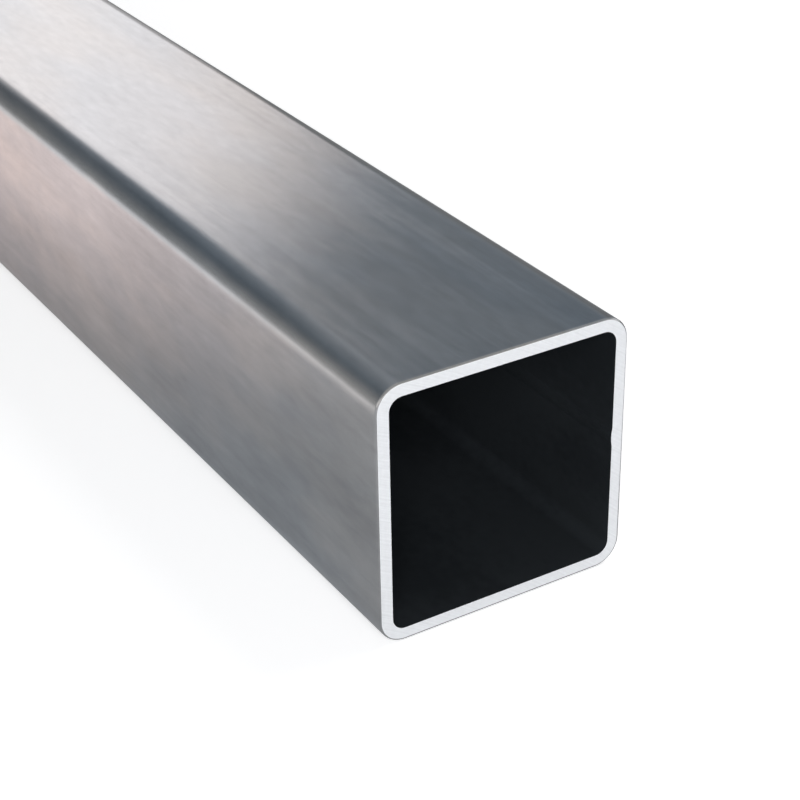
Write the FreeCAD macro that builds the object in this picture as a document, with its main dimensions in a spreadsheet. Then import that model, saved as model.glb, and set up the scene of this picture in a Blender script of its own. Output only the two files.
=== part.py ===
# Square hollow section: steel strip rolled to a square, welded along one side and sawn square at both ends.
# Millimetres. +X runs along the tube, +Z is up, and the origin is the middle of the side that it lies on.

import FreeCAD, Part
import Sketcher
import math
import os

doc = FreeCAD.newDocument("SquareTube")

# Driving dimensions
sizes = {
    "side": 40.0,  # across the flats, outside
    "wall": 2.0,  # strip thickness
    "bendRadius": 2.0,  # inside of each rolled corner; the outside is one wall larger
    "stockLength": 1000.0,  # sawn length
    "edgeRound": 0.4,  # left by deburring on the outer edge of each sawn end
    "beadWidth": 2.8,  # weld bead in the bore, after trimming
    "beadHeight": 0.15,  # how far that bead stands out of the wall
    "seamRise": 1.0,  # how far the weld lies above the middle of its side
}

sheet = doc.addObject("Spreadsheet::Sheet", "Sizes")
for row, (name, value) in enumerate(sizes.items(), start=1):
    sheet.set(f"A{row}", name)
    sheet.set(f"B{row}", str(value))
    sheet.setAlias(f"B{row}", name)
doc.recompute()

side = sheet.get("side")
wall = sheet.get("wall")
bendRadius = sheet.get("bendRadius")
stockLength = sheet.get("stockLength")
beadWidth = sheet.get("beadWidth")
beadHeight = sheet.get("beadHeight")
seamRise = sheet.get("seamRise")

boreHalf = side / 2 - wall
tolerance = 1e-4

# Sketches lie on the body's YZ plane, square to the length, and draw the section with Y across and Z up.
# In a sketch an element's points are 1 for its start, 2 for its end and 3 for its centre.
# Its element -1 is the axis across, which starts at the origin.
start, end, centre = 1, 2, 3
originPoint = (-1, start)


def sectionSketch(body, name):
    plane = next(item for item in body.Origin.OriginFeatures if item.Role == "YZ_Plane")
    sketch = body.newObject("Sketcher::SketchObject", name)
    sketch.AttachmentSupport = (plane, [""])
    sketch.MapMode = "FlatFace"
    return sketch


def tie(sketch, kind, *terms):
    return sketch.addConstraint(Sketcher.Constraint(kind, *terms))


def dimension(sketch, name, expression, kind, *terms):
    number = tie(sketch, kind, *terms)
    sketch.renameConstraint(number, name)
    sketch.setExpression(f"Constraints.{name}", expression)


def addRoundedSquare(sketch, name, half, radius, sideExpression, radiusExpression):
    # Four sides, from the right-hand one round through the top, each with the corner that follows it
    straight = half - radius
    sides, corners = [], []
    for quarter in range(4):
        turn = quarter * math.pi / 2
        outward = FreeCAD.Vector(math.cos(turn), math.sin(turn), 0)
        along = FreeCAD.Vector(-math.sin(turn), math.cos(turn), 0)
        line = Part.LineSegment(outward * half - along * straight, outward * half + along * straight)
        circle = Part.Circle((outward + along) * straight, FreeCAD.Vector(0, 0, 1), radius)
        sides.append(sketch.addGeometry(line))
        corners.append(sketch.addGeometry(Part.ArcOfCircle(circle, turn, turn + math.pi / 2)))
    for quarter in range(4):
        tie(sketch, "Tangent", sides[quarter], end, corners[quarter], start)
        tie(sketch, "Tangent", corners[quarter], end, sides[(quarter + 1) % 4], start)
        tie(sketch, "Horizontal" if quarter % 2 else "Vertical", sides[quarter])
    for quarter in range(3):
        tie(sketch, "Equal", corners[quarter], corners[quarter + 1])
    tie(sketch, "Symmetric", corners[0], centre, corners[2], centre, *originPoint)
    across = (sides[2], start, sides[0], start)
    upright = (sides[3], start, sides[1], start)
    dimension(sketch, name + "Width", sideExpression, "DistanceX", *across, 2 * half)
    dimension(sketch, name + "Height", sideExpression, "DistanceY", *upright, 2 * half)
    dimension(sketch, name + "Corner", radiusExpression, "Radius", corners[0], radius)


def padAlongTube(body, sketch, name):
    pad = body.newObject("PartDesign::Pad", name)
    pad.Profile = sketch
    pad.SideType = "Symmetric"
    pad.setExpression("Length", "Sizes.stockLength")
    doc.recompute()
    return pad


# The tube lies on its bottom side, so its section is centred half a side above the origin.
tube = doc.addObject("PartDesign::Body", "SquareTubeBody")
tube.Label = "square_tube"
tube.setExpression("Placement.Base.z", "Sizes.side / 2")

# Rolled section: the two outlines share the centres of their corners, as one bent strip has.
section = sectionSketch(tube, "Section")
outerCorner = bendRadius + wall
addRoundedSquare(section, "outer", side / 2, outerCorner, "Sizes.side", "Sizes.bendRadius + Sizes.wall")
addRoundedSquare(section, "bore", boreHalf, bendRadius, "Sizes.side - 2 * Sizes.wall", "Sizes.bendRadius")
length = padAlongTube(tube, section, "Length")

# Sawn ends: the outer edges are rounded a little, and the edges of the bore stay sharp.
rims = []
for face in length.Shape.Faces:
    if abs(abs(face.CenterOfMass.x) - stockLength / 2) < tolerance:
        rims.extend(face.OuterWire.Edges)
rimNames = []
for number, edge in enumerate(length.Shape.Edges, start=1):
    if any(edge.isSame(rim) for rim in rims):
        rimNames.append(f"Edge{number}")
deburred = tube.newObject("PartDesign::Fillet", "DeburredEnds")
deburred.Base = (length, rimNames)
deburred.setExpression("Radius", "Sizes.edgeRound")
doc.recompute()

# Weld bead: a low crown inside the +Y wall, a little above its middle, with its chord on the wall.
crownRadius = beadWidth ** 2 / (8 * beadHeight) + beadHeight / 2
crownTurn = math.asin(beadWidth / 2 / crownRadius)
crownCentre = FreeCAD.Vector(boreHalf + crownRadius - beadHeight, seamRise, 0)
foot = FreeCAD.Vector(boreHalf, seamRise - beadWidth / 2, 0)
head = FreeCAD.Vector(boreHalf, seamRise + beadWidth / 2, 0)

beadSection = sectionSketch(tube, "BeadSection")
crown = Part.Circle(crownCentre, FreeCAD.Vector(0, 0, 1), crownRadius)
chordLine = beadSection.addGeometry(Part.LineSegment(foot, head))
crownArc = beadSection.addGeometry(Part.ArcOfCircle(crown, math.pi - crownTurn, math.pi + crownTurn))
tie(beadSection, "Coincident", chordLine, end, crownArc, start)
tie(beadSection, "Coincident", crownArc, end, chordLine, start)
chordEnds = (chordLine, start, chordLine, end)
toHead = (*originPoint, chordLine, end)
boreExpression = "Sizes.side / 2 - Sizes.wall"
headExpression = "Sizes.seamRise + Sizes.beadWidth / 2"
crownExpression = "Sizes.beadWidth ^ 2 / (8 * Sizes.beadHeight) + Sizes.beadHeight / 2"
tie(beadSection, "Vertical", chordLine)
dimension(beadSection, "chordPlace", boreExpression, "DistanceX", *toHead, boreHalf)
dimension(beadSection, "chordHead", headExpression, "DistanceY", *toHead, seamRise + beadWidth / 2)
dimension(beadSection, "chordWidth", "Sizes.beadWidth", "DistanceY", *chordEnds, beadWidth)
dimension(beadSection, "crownRadius", crownExpression, "Radius", crownArc, crownRadius)
bead = padAlongTube(tube, beadSection, "InsideWeldBead")
tube.Tip = bead
doc.recompute()

for item in doc.Objects:
    if "Invalid" in item.State or "Error" in item.State:
        raise RuntimeError(f"{item.Label} failed: {item.State}")
if tube.Shape.isNull() or not tube.Shape.isValid() or len(tube.Shape.Solids) != 1:
    raise RuntimeError(f"{tube.Label} is not one valid solid")

os.makedirs("parts", exist_ok=True)
tube.Shape.exportStep(f"parts/{tube.Label}.step")
print(f"{tube.Label}: {tube.Shape.Volume / 1000:.2f} cm3, box {tube.Shape.BoundBox}")
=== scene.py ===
import math

import bmesh
import bpy
from mathutils import Euler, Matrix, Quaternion, Vector


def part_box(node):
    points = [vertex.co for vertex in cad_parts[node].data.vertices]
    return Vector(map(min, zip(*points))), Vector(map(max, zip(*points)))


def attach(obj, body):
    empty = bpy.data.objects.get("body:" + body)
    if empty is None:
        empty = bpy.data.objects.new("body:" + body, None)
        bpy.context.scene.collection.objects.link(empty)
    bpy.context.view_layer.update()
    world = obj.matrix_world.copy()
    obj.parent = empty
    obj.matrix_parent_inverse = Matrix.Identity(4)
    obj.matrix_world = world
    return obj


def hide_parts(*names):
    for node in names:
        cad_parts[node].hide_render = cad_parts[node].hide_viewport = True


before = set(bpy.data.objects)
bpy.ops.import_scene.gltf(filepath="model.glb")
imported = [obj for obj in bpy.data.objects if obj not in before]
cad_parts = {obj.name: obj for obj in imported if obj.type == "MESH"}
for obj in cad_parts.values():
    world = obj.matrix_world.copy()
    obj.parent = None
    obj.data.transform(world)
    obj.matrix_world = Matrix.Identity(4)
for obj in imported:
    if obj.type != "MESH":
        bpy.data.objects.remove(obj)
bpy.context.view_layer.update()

# Metres, in the tube's own frame: +X along the length, +Z up, the origin under its middle
low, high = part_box("square_tube")
length = high.x - low.x
side = high.z - low.z
middle = Vector((0, 0, side / 2))  # of the section, half way along
nearEnd = Vector((high.x, 0, side / 2))  # middle of the sawn end that the camera sees


# Camera

print("camera")
viewpoint = {
    "fromNearEnd": (0.1823, -0.1261, 0.1373),
    "heading": 58.94,  # degrees, turned left from looking along +Y
    "tilt": -29.37,
    "roll": -1.0,
    "lens": 86.65,  # millimetres, on a sensor 36 wide
}
cameraData = bpy.data.cameras.new("camera")
cameraData.lens = viewpoint["lens"]
cameraData.sensor_width = 36
cameraData.clip_start = 0.01
camera = bpy.data.objects.new("camera", cameraData)
camera.location = nearEnd + Vector(viewpoint["fromNearEnd"])
level = Euler((math.radians(90 + viewpoint["tilt"]), 0, math.radians(viewpoint["heading"])))
camera.rotation_mode = "QUATERNION"
camera.rotation_quaternion = level.to_quaternion() @ Quaternion((0, 0, 1), math.radians(viewpoint["roll"]))
bpy.context.collection.objects.link(camera)
bpy.context.scene.camera = camera


# Shader maths

class Signal:
    # One output of a node. Arithmetic on signals adds Math nodes to the same tree.
    def __init__(self, tree, socket=None):
        self.tree = tree
        self.socket = socket

    def node(self, kind, settings=None, sockets=None, out=0):
        made = self.tree.nodes.new("ShaderNode" + kind)
        for name, value in (settings or {}).items():
            if name == "stops":
                setStops(made.color_ramp, value)
            else:
                setattr(made, name, value)
        for name, value in (sockets or {}).items():
            if isinstance(value, Signal):
                self.tree.links.new(value.socket, made.inputs[name])
            else:
                made.inputs[name].default_value = value
        return Signal(self.tree, made.outputs[out])

    def also(self, name):
        return Signal(self.tree, self.socket.node.outputs[name])

    def maths(self, operation, *terms):
        return self.node("Math", {"operation": operation}, dict(enumerate(terms)))

    def __add__(self, other):
        return self.maths("ADD", self, other)

    def __sub__(self, other):
        return self.maths("SUBTRACT", self, other)

    def __rsub__(self, other):
        return self.maths("SUBTRACT", other, self)

    def __mul__(self, other):
        return self.maths("MULTIPLY", self, other)

    __radd__ = __add__
    __rmul__ = __mul__

    def size(self):
        return self.maths("ABSOLUTE", self)

    def between(self, start, end, low=0.0, high=1.0):
        # Runs from low to high as the signal goes from start to end, eased at both
        sockets = {"Value": self, "From Min": start, "From Max": end, "To Min": low, "To Max": high}
        return self.node("MapRange", {"interpolation_type": "SMOOTHSTEP"}, sockets)

    def blend(self, first, second):
        # Colour that goes from first to second as the signal goes from 0 to 1
        sockets = {"Factor": self, 6: first, 7: second}
        return self.node("Mix", {"data_type": "RGBA"}, sockets, out=2)


def setStops(ramp, stops):
    while len(ramp.elements) < len(stops):
        ramp.elements.new(1)
    for element, (place, colour) in zip(ramp.elements, stops):
        element.position = place
        element.color = colour


def colour(red, green, blue):
    return (red, green, blue, 1)


def newMaterial(name):
    material = bpy.data.materials.new(name)
    material.use_nodes = True
    material.node_tree.nodes.clear()
    return material, Signal(material.node_tree)


def finishMaterial(nodes, surface):
    output = nodes.tree.nodes.new("ShaderNodeOutputMaterial")
    nodes.tree.links.new(surface.socket, output.inputs["Surface"])


# Tube

print("tube")
tube = {
    "wall": 0.002,
    "outerCorner": 0.004,
    "cornerSteps": 14,
    "edgeRound": 0.0004,
    "edgeSteps": 4,
    "beadWidth": 0.0028,
    "beadHeight": 0.00015,
    "seamRise": 0.001,
    "beadSteps": 8,
}


def atEnd(point):
    return abs(abs(point.x) - length / 2) < 1e-6


def onSeamWall(face):
    return abs(face.normal.y) > 0.99 and abs(face.calc_center_median().y - boreHalf) < 1e-6


def bevelEdges(bm, edges, offset, segments):
    bmesh.ops.bevel(
        bm, geom=edges, offset=offset, offset_type="OFFSET", segments=segments,
        profile=0.5, affect="EDGES", material=-1, clamp_overlap=False,
    )


def buildTube():
    bm = bmesh.new()
    bmesh.ops.create_cube(bm, size=1)
    bmesh.ops.scale(bm, vec=(length, side, side), verts=bm.verts)
    bmesh.ops.translate(bm, vec=middle, verts=bm.verts)
    longEdges = [e for e in bm.edges if atEnd(e.verts[0].co) and e.verts[0].co.x * e.verts[1].co.x < 0]
    bevelEdges(bm, longEdges, tube["outerCorner"], tube["cornerSteps"])

    # The bore: both ends inset by the wall, opened, and joined through
    ends = [f for f in bm.faces if abs(f.normal.x) > 0.9]
    rims = [e for f in ends for e in f.edges]
    bmesh.ops.inset_region(bm, faces=ends, thickness=tube["wall"], use_even_offset=True)
    mouths = [e for f in ends for e in f.edges]
    bmesh.ops.delete(bm, geom=ends, context="FACES_ONLY")
    bore = bmesh.ops.bridge_loops(bm, edges=mouths)["faces"]

    # The weld bead: the +Y wall of the bore cut into strips, which rise to a low crown
    seamWall = max(bore, key=lambda f: f.calc_center_median().y * 1000 + f.calc_area())
    strips = [seamWall]
    for step in range(tube["beadSteps"] + 1):
        height = seamHeight + tube["beadWidth"] * (step / tube["beadSteps"] - 0.5)
        geom = {*strips, *(e for f in strips for e in f.edges), *(v for f in strips for v in f.verts)}
        cut = {"plane_co": (0, 0, height), "plane_no": (0, 0, 1), "dist": 1e-7}
        bmesh.ops.bisect_plane(bm, geom=list(geom), **cut)
        strips = [f for f in bm.faces if onSeamWall(f)]
    for v in {v for f in strips for v in f.verts}:
        across = (v.co.z - seamHeight) / (tube["beadWidth"] / 2)
        if abs(across) < 1:
            v.co.y -= tube["beadHeight"] * (1 - across * across)

    bevelEdges(bm, [e for e in rims if e.is_valid], tube["edgeRound"], tube["edgeSteps"])
    bmesh.ops.recalc_face_normals(bm, faces=bm.faces)
    return bm


# The map that the finish is baked through. Each strip runs along U, and V runs over its share of the height.
# The skin and the bore are unrolled with their length along U, and each sawn end with its way round along U.
unrolled = {
    "margin": 0.005,
    "skin": (0.005, 0.605),
    "bore": (0.620, 0.860),
    "ends": ((0.875, 0.930), (0.940, 0.995)),
}


def section(point):
    # How far round the section a point lies, as a share of the whole, and how far out from the corner centres
    flat = side / 2 - tube["outerCorner"]
    bend = tube["outerCorner"] * math.pi / 2
    y, z = point.y, point.z - middle.z
    nearY, nearZ = (min(max(value, -flat), flat) for value in (y, z))
    quarters = math.atan2(z - nearZ, y - nearY) / (math.pi / 2) % 4
    whole = round(quarters)
    if abs(quarters - whole) < 1e-4:
        whole %= 4
        way = whole * (2 * flat + bend) + flat + (nearZ, -nearY, -nearZ, nearY)[whole]
    else:
        way = int(quarters) * (2 * flat + bend) + 2 * flat + quarters % 1 * bend
    return way / (8 * flat + 4 * bend), math.hypot(y - nearY, z - nearZ)


def unroll(bm):
    layer = bm.loops.layers.uv.new("OFBake")
    beyond = length / 2 - tube["edgeRound"] - 1e-6
    inward = tube["wall"] + tube["edgeRound"] + tube["beadHeight"]
    for face in bm.faces:
        sections = [section(loop.vert.co) for loop in face.loops]
        wraps = max(way for way, _ in sections) - min(way for way, _ in sections) > 0.5
        onEnd = abs(face.calc_center_median().x) > beyond
        for loop, (way, out) in zip(face.loops, sections):
            x = loop.vert.co.x
            way += wraps and way < 0.5
            if onEnd:
                first, last = unrolled["ends"][x > 0]
                along = way
                across = (tube["outerCorner"] - out + abs(x) - beyond) / inward
            else:
                first, last = unrolled["bore" if face.material_index == boreIndex else "skin"]
                along = x / length + 0.5
                across = way
            margin = unrolled["margin"]
            loop[layer].uv = (margin + along * (1 - 2 * margin), first + across * (last - first))


boreHalf = side / 2 - tube["wall"]
seamHeight = middle.z + tube["seamRise"]
skinIndex, sawnIndex, boreIndex = 0, 1, 2

bm = buildTube()
for face in bm.faces:
    face.smooth = True
    centre = face.calc_center_median() - middle
    inBore = max(abs(centre.y), abs(centre.z)) < boreHalf + 1e-5
    if abs(face.normal.x) > 0.9:
        face.material_index = sawnIndex
    else:
        face.material_index = boreIndex if inBore else skinIndex
unroll(bm)
for edge in bm.edges:
    edge.smooth = edge.calc_face_angle(0) < math.radians(40)
tubeMesh = bpy.data.meshes.new("dressedTube")
bm.to_mesh(tubeMesh)
bm.free()
dressedTube = bpy.data.objects.new("dressedTube", tubeMesh)
bpy.context.collection.objects.link(dressedTube)
weighted = dressedTube.modifiers.new("flatSides", "WEIGHTED_NORMAL")
weighted.keep_sharp = True
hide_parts("square_tube")
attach(dressedTube, "root")


# Rolled skin: bare steel, satin, with drawn lines along the length, a cloudy film and a fine grain

print("rolled skin")
skin = {
    "cool": colour(0.545, 0.557, 0.57),
    "warm": colour(0.575, 0.564, 0.554),
    "swing": 0.12,  # of the film, from even to wholly cool or warm
    "stainSwing": 0.4,  # and how far the stains count for that
    "roughness": 0.215,
    "bump": {"Strength": 0.35, "Distance": 0.00006},
    # Each mark's noise has a length and a width in millimetres, and maybe a detail and a roughness.
    # Then comes how much the mark adds to the shade, the roughness and the height.
    "marks": {
        "film": {"noise": (60, 22, 3.0), "shade": 0.12, "dull": 0.10},
        "blotches": {"noise": (30, 9, 3.0), "shade": 0.34, "dull": 0.06},
        "bands": {"noise": (260, 3.0), "shade": 0.18, "dull": 0.16, "height": 0.25},
        "streaks": {"noise": (110, 1.1), "shade": 0.13, "height": 0.1},
        "lines": {"noise": (45, 0.32, 2.0, 0.6), "shade": 0.10, "dull": 0.05, "height": 0.06},
        "grain": {"noise": (4.5, 1.5, 4.0, 0.62), "shade": 0.27, "height": 0.07},
        "stains": {"noise": (14, 5.5, 4.0, 0.6), "shade": 0.34},
        "scratches": {"noise": (120, 0.5), "shade": -0.08, "height": -0.05},
        "seam": {"shade": 0.05, "dull": -0.05},
    },
    "rolled": (5, 12, 0.35, 1.0),  # out from the middle of a side: the rolls mark it most beside the corners
    "stained": (-16.0, -19.5),  # along Y: the side that the rolling oil has clouded
    "scratchHalf": 0.012,  # of the noise's swing, each side of its middle, where a scratch runs
    "faint": (30, 9),  # patches that have scratches
    "faintFrom": (0.06, 0.16),
    "seamHalf": 1.9,  # of the planed weld line along the +Y side, in millimetres
}


def patches(nodes, at, along, across, detail=2.0, roughness=0.5):
    # Cloudy noise whose patches are so many millimetres long and wide
    repeats = (1 / along, 1 / across, 1 / across)
    stretched = nodes.node("Mapping", {"vector_type": "POINT"}, {"Vector": at, "Scale": repeats})
    sockets = {"Vector": stretched, "Scale": 1.0, "Detail": detail, "Roughness": roughness}
    return nodes.node("TexNoise", {"noise_dimensions": "3D"}, sockets) - 0.5


def millimetres(nodes):
    at = nodes.node("TexCoord", out="Object")
    return scaled(nodes, at, 1000.0)


def total(signals, marks, effect):
    # What all the marks add to the shade, the roughness or the height
    return sum(signals[name] * mark[effect] for name, mark in marks.items() if effect in mark)


def scaled(nodes, tint, shade):
    return nodes.node("VectorMath", {"operation": "SCALE"}, {0: tint, "Scale": shade})


# Painted shade: a dark line on the rounded outer edge of each end, at the bottom, and less so up the +Y side
edgeShadeLook = {
    "side": (-20, -16),  # of Y less Z, all in millimetres
    "fade": (36, 2),
    "start": 0.02,  # in from the end
    "reach": (0.35, 0.45),
    "darker": 0.75,
}


# Painted shade: how much darker the rounded edge of each end is drawn, at the bottom and up the +Y side
def paintedEdgeShade(nodes, at):
    place = nodes.node("SeparateXYZ", {}, {"Vector": at}, out="Z")
    fromEnd = length * 500 - place.also("X").size()
    shadedSide = (place.also("Y") - place).between(*edgeShadeLook["side"]) * place.between(*edgeShadeLook["fade"])
    return shadedSide * fromEnd.between(0, edgeShadeLook["start"]) * fromEnd.between(*edgeShadeLook["reach"], edgeShadeLook["darker"], 0.0)


def rolledSkin():
    material, nodes = newMaterial("rolledSkin")
    at = millimetres(nodes)
    place = nodes.node("SeparateXYZ", {}, {"Vector": at}, out="Z")
    fromMiddle = place.also("Y").size()
    fromMiddle = fromMiddle.maths("MINIMUM", fromMiddle, (place - middle.z * 1000).size())
    rolled = fromMiddle.between(*skin["rolled"])
    onSeamSide = place.also("Y").between(side * 500 - 0.5, side * 500 - 0.1)
    offSeam = (place - seamHeight * 1000).size()
    scratched = patches(nodes, at, *skin["faint"]).between(*skin["faintFrom"])

    marks = skin["marks"]
    signals = {name: patches(nodes, at, *mark["noise"]) for name, mark in marks.items() if "noise" in mark}
    signals["bands"] *= rolled
    signals["streaks"] *= rolled
    signals["stains"] *= place.also("Y").between(*skin["stained"])
    scratch = signals["scratches"].size().between(0.0, skin["scratchHalf"], 1.0, 0.0)
    signals["scratches"] = scratch * scratched
    signals["seam"] = onSeamSide * offSeam.between(skin["seamHalf"] - 0.3, skin["seamHalf"] + 0.1, 1.0, 0.0)

    tint = signals["film"] + signals["stains"] * skin["stainSwing"]
    tint = tint.between(-skin["swing"], skin["swing"]).blend(skin["cool"], skin["warm"])
    # the ends' rounded edges get a painted shade, dark at the bottom and up the +Y side
    shade = (1 + total(signals, marks, "shade")) * (1 - paintedEdgeShade(nodes, at))
    bump = nodes.node("Bump", {}, {**skin["bump"], "Height": total(signals, marks, "height")})
    sockets = {
        "Base Color": scaled(nodes, tint, shade),
        "Metallic": 1.0,
        "Roughness": skin["roughness"] + total(signals, marks, "dull"),
        "Normal": bump,
    }
    finishMaterial(nodes, nodes.node("BsdfPrincipled", {}, sockets))
    return material


# Sawn end: fresh metal, bright, with the arcs that a round blade leaves

print("sawn end")
sawn = {
    "bright": (0.86, 0.875, 0.89),
    "metallic": 0.2,
    "roughness": 0.5,
    "bump": {"Strength": 0.3, "Distance": 0.00008},
    "blade": (0, -90, -120),  # middle of the blade's arcs, in millimetres
    "arcs": {"Scale": 3.5, "Detail": 3.0},  # to a millimetre
    "marks": {
        "arcs": {"shade": 0.16, "dull": 0.1, "height": 0.7},
        "grain": {"noise": (0.8, 0.8, 3.0, 0.6), "shade": 0.12, "height": 0.3},
    },
}


def sawnEnd():
    material, nodes = newMaterial("sawnEnd")
    at = millimetres(nodes)
    fromBlade = nodes.node("VectorMath", {"operation": "SUBTRACT"}, {0: at, 1: sawn["blade"]})
    flat = nodes.node("VectorMath", {"operation": "MULTIPLY"}, {0: fromBlade, 1: (0, 1, 1)})
    radius = nodes.node("VectorMath", {"operation": "LENGTH"}, {0: flat}, out="Value")
    arcs = nodes.node("TexNoise", {"noise_dimensions": "1D"}, {"W": radius, **sawn["arcs"]}) - 0.5
    marks = sawn["marks"]
    signals = {"arcs": arcs, "grain": patches(nodes, at, *marks["grain"]["noise"])}
    # the rounded outer edge gets a painted shade, dark at the bottom and up the +Y side
    shade = (1 + total(signals, marks, "shade")) * (1 - paintedEdgeShade(nodes, at))
    bump = nodes.node("Bump", {}, {**sawn["bump"], "Height": total(signals, marks, "height")})
    sockets = {
        "Base Color": scaled(nodes, sawn["bright"], shade),
        "Metallic": sawn["metallic"],
        "Roughness": sawn["roughness"] + total(signals, marks, "dull"),
        "Normal": bump,
    }
    finishMaterial(nodes, nodes.node("BsdfPrincipled", {}, sockets))
    return material


# Bore: dark scale that the rolling left inside

print("bore scale")
scale = {
    "dark": colour(0.020, 0.0233, 0.0266),
    "light": colour(0.028, 0.0326, 0.0365),
    "swing": 0.15,  # of the patches, from even to wholly dark or light
    "metallic": 0.2,
    "specular": 0.35,
    "roughness": 0.5,
    "bump": {"Strength": 0.3, "Distance": 0.0001},
    "marks": {
        "patches": {"noise": (40, 14, 4.0), "shade": 1.0, "dull": 0.15},
        "grain": {"noise": (1.6, 1.2, 3.0), "shade": 0.4, "height": 1.0},
    },
}


def boreScale():
    material, nodes = newMaterial("boreScale")
    at = millimetres(nodes)
    marks = scale["marks"]
    signals = {name: patches(nodes, at, *mark["noise"]) for name, mark in marks.items()}
    shade = total(signals, marks, "shade").between(-scale["swing"], scale["swing"])
    bump = nodes.node("Bump", {}, {**scale["bump"], "Height": total(signals, marks, "height")})
    sockets = {
        "Base Color": shade.blend(scale["dark"], scale["light"]),
        "Metallic": scale["metallic"],
        "Specular IOR Level": scale["specular"],
        "Roughness": scale["roughness"] + total(signals, marks, "dull"),
        "Normal": bump,
    }
    finishMaterial(nodes, nodes.node("BsdfPrincipled", {}, sockets))
    return material


for material in (rolledSkin(), sawnEnd(), boreScale()):
    tubeMesh.materials.append(material)


# Floor and room

print("floor and light")
floorLook = {
    "reach": 6.0,
    "pale": colour(0.79, 0.79, 0.79),
    "grey": colour(0.615, 0.634, 0.655),  # what the metal mirrors of it
    "whiteNear": 0.55,  # what the camera sees on top of the floor's own shade, beside the tube
    "whiteFar": 1.0,
    "fade": (0.1, 0.8),  # how far from the tube the first becomes the second
    "warmGlow": colour(0.735, 0.56, 0.515),  # what the metal sees on top of that shade, beside its near end
    "plainGlow": colour(0.61, 0.59, 0.58),  # and elsewhere
    "warmUntil": (0.31, -0.15),  # along the tube: where the first gives way to the second, from and to
    "warmWithin": (0.05, 0.12),  # and out from its middle
    "fromEnd": (0.46, 0.30),  # along the tube: where the glow begins and where it is whole
    "laterBehind": 0.4,  # how much farther from the end both are on the +Y side
    "fromSide": (0.006, 0.043),  # out from the tube's middle: where it begins and where it is whole
    "step": (0.035, 0.041, 0.77, 1.0),  # where it is a step brighter, from and to, and its share at each
    "farOff": (0.10, 0.32, 1.0, 0.25),  # where it fades, from and to, and its share at each
    "behind": (0.10, 0.22, 1.0, 0.45),  # where the metal sees the floor on the +Y side darken, the same
}


def paleFloor():
    # White to the camera, with the shadow kept near the tube. The metal mirrors a grey floor instead, with
    # a glow that begins some way from the near end and is warm on the -Y side.
    material, nodes = newMaterial("paleFloor")
    at = nodes.node("TexCoord", out="Object")
    split = nodes.node("SeparateXYZ", {}, {"Vector": at}, out="X")
    aside = split.also("Y")
    out = aside.size()
    beyond = split.size() - length / 2
    beyond = beyond.maths("MAXIMUM", beyond, 0.0)
    away = beyond * beyond + aside * aside
    away = away.maths("SQRT", away)
    white = away.between(*floorLook["fade"], floorLook["whiteNear"], floorLook["whiteFar"])
    path = nodes.node("LightPath", out="Is Camera Ray")
    glossy = path.also("Is Glossy Ray")
    onPlusY = aside.between(-0.01, 0.01)

    dimmed = (glossy * aside).between(*floorLook["behind"])
    matt = glossy.blend(floorLook["pale"], floorLook["grey"])
    matt = nodes.node("BsdfDiffuse", {}, {"Color": scaled(nodes, matt, dimmed)})

    along = split + onPlusY * floorLook["laterBehind"]
    strength = glossy * dimmed * along.between(*floorLook["fromEnd"])
    for band in ("fromSide", "step", "farOff"):
        strength = strength * out.between(*floorLook[band])
    plain = along.between(*floorLook["warmUntil"]) + out.between(*floorLook["warmWithin"]) + onPlusY
    tint = plain.blend(floorLook["warmGlow"], floorLook["plainGlow"])
    seen = (path * white).blend(scaled(nodes, tint, strength), colour(1, 1, 1))
    glow = nodes.node("Emission", {}, {"Color": seen})
    finishMaterial(nodes, nodes.node("AddShader", {}, {0: glow, 1: matt}))
    return material


bm = bmesh.new()
bmesh.ops.create_grid(bm, x_segments=1, y_segments=1, size=floorLook["reach"])
floorMesh = bpy.data.meshes.new("floor")
bm.to_mesh(floorMesh)
bm.free()
floorMesh.materials.append(paleFloor())
floor = bpy.data.objects.new("floor", floorMesh)
bpy.context.collection.objects.link(floor)

# The room is pale all round, but dim on the side that the camera sees mirrored in the tube
room = {
    "dimSide": (
        (0.0, colour(0.49, 0.50, 0.50)),
        (0.14, colour(0.385, 0.395, 0.405)),
        (0.34, colour(0.245, 0.267, 0.292)),
        (0.48, colour(0.141, 0.175, 0.211)),
        (0.64, colour(0.223, 0.264, 0.31)),
        (1.0, colour(0.49, 0.51, 0.53)),
    ),  # from the horizon up
    "paleSide": (
        (0.0, colour(0.5, 0.5, 0.5)),
        (0.12, colour(0.9, 0.9, 0.9)),
        (0.34, colour(0.9, 0.9, 0.9)),
        (0.56, colour(0.34, 0.35, 0.36)),
        (1.0, colour(0.42, 0.43, 0.44)),
    ),
    "turn": (-0.58, -0.2),  # along X, from the dim side to the pale one
    "leftDim": (-0.15, 0.3, 0.80, 1.0),  # along Y: from, to, and how bright the dim side is at each
    "rightDim": (0.38, 0.50),  # and the same low down on the right
    "lowDim": (0.32, 0.20),
    "lowRightDim": 0.5,
    "farDim": (-0.79, -0.89),  # along X: where the left of the dim side gets dimmer still
    "farLeftDim": (0.1, -0.2, 1.0, 0.7),
    "onTheFloor": 0.52,  # how much of this light reaches what is matt
}
world = bpy.data.worlds.new("room")
world.use_nodes = True
world.node_tree.nodes.clear()
bpy.context.scene.world = world
nodes = Signal(world.node_tree)
toward = nodes.node("SeparateXYZ", {}, {"Vector": nodes.node("TexCoord", out="Generated")}, out="X")
dim = nodes.node("ValToRGB", {"stops": room["dimSide"]}, {"Fac": toward.also("Z")})
aside = toward.also("Y")
farLeft = toward.between(*room["farDim"]) * aside.between(*room["farLeftDim"][:2])
lowRight = aside.between(*room["rightDim"]) * toward.also("Z").between(*room["lowDim"])
sides = aside.between(*room["leftDim"]) * lowRight.between(0, 1, 1, room["lowRightDim"])
sides = sides * farLeft.between(0, 1, *room["farLeftDim"][2:])
dim = scaled(nodes, dim, sides)
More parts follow.
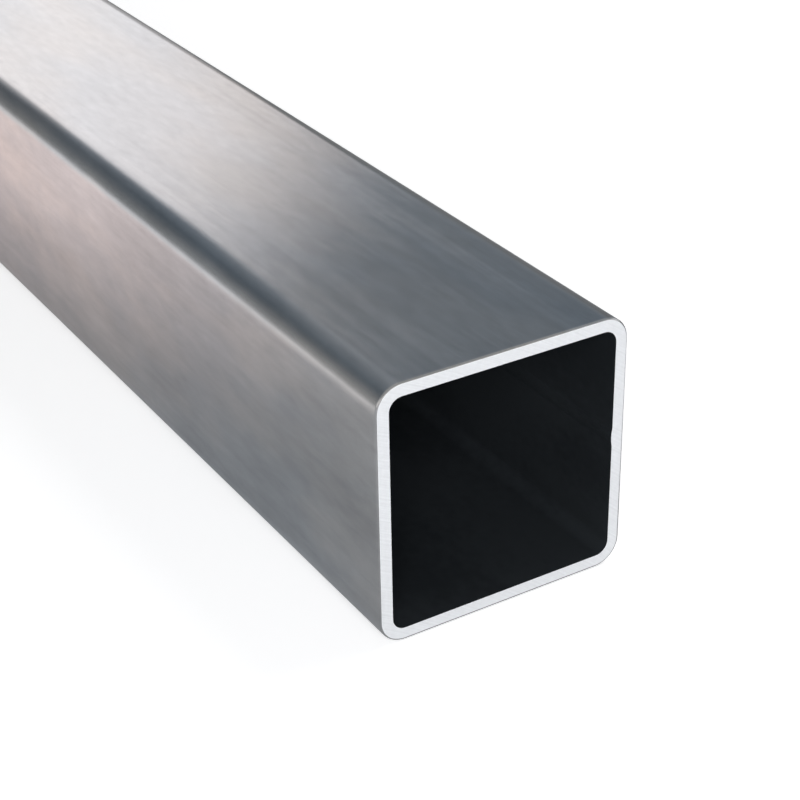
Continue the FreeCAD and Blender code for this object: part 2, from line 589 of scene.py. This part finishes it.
pale = nodes.node("ValToRGB", {"stops": room["paleSide"]}, {"Fac": toward.also("Z")})
shade = toward.between(*room["turn"]).blend(dim, pale)
path = nodes.node("LightPath", out="Is Camera Ray")
seen = path.blend(shade, colour(1, 1, 1))
sharp = path.maths("MAXIMUM", path, path.also("Is Glossy Ray"))
strength = sharp.between(0, 1, room["onTheFloor"], 1)
background = nodes.node("Background", {}, {"Color": seen, "Strength": strength})
worldOutput = world.node_tree.nodes.new("ShaderNodeOutputWorld")
world.node_tree.links.new(background.socket, worldOutput.inputs["Surface"])

lamps = {
    "backSoftbox": {
        "shape": "DISK", "size": (1.3, 1.3), "place": (-1.32, 0.40, 0.315), "aim": (0.42, 0.0, 0.04),
        "brightness": 1.08, "tint": (0.99, 0.95, 0.95), "mirrored": True, "rim": (1.23, 1.11, 1.07),
        "left": (0.5, 0.66, 1, 0.5), "lowRight": ((0.30, 0.22), (0.68, 0.60)), "flag": 0.8,
    },
    "overhead": {
        "shape": "RECTANGLE", "size": (1.6, 1.0), "place": (0.0, 1.1, 1.5), "aim": (0.1, 0.0, 0.0),
        "brightness": 2.05, "tint": (0.985, 0.97, 0.97), "mirrored": False,
    },
    "frontFill": {
        "shape": "RECTANGLE", "size": (0.5, 0.5), "place": (1.2, -0.35, 0.40), "aim": (0.5, 0.0, 0.02),
        "brightness": 7.8, "tint": (0.977, 0.979, 1), "mirrored": False,
    },
}


def grade(light, lamp):
    # Warmer towards the rim, and flagged off at the left and low down on the right, as the tube sees it
    light.use_nodes = True
    light.node_tree.nodes.clear()
    nodes = Signal(light.node_tree)
    place = nodes.node("NewGeometry", out="Parametric")
    across = nodes.node("SeparateXYZ", {}, {"Vector": place}, out="X")
    offCentre = nodes.node("VectorMath", {"operation": "DISTANCE"}, {0: place, 1: (0.5, 0.5, 0)}, out="Value")
    rim = [part / whole for part, whole in zip(lamp["rim"], lamp["tint"])]
    shade = offCentre.between(0.28, 0.45).blend(colour(1, 1, 1), colour(*rim))
    right, low = (signal.between(*flag) for signal, flag in zip((across, across.also("Y")), lamp["lowRight"]))
    strength = (1 - right * low * lamp["flag"]) * across.between(*lamp["left"])
    emission = nodes.node("Emission", {}, {"Color": shade, "Strength": strength})
    output = light.node_tree.nodes.new("ShaderNodeOutputLight")
    light.node_tree.links.new(emission.socket, output.inputs["Surface"])


for name, lamp in lamps.items():
    light = bpy.data.lights.new(name, "AREA")
    light.shape = lamp["shape"]
    light.size, light.size_y = lamp["size"]
    area = lamp["size"][0] * lamp["size"][1] * (math.pi / 4 if lamp["shape"] == "DISK" else 1)
    light.energy = lamp["brightness"] * math.pi * area
    light.color = lamp["tint"]
    if "rim" in lamp:
        grade(light, lamp)
    holder = bpy.data.objects.new(name, light)
    holder.location = lamp["place"]
    holder.rotation_euler = (Vector(lamp["aim"]) - Vector(lamp["place"])).to_track_quat("-Z", "Y").to_euler()
    holder.visible_camera = False
    holder.visible_glossy = lamp["mirrored"]
    bpy.context.collection.objects.link(holder)

bpy.context.scene.view_settings.view_transform = "Standard"
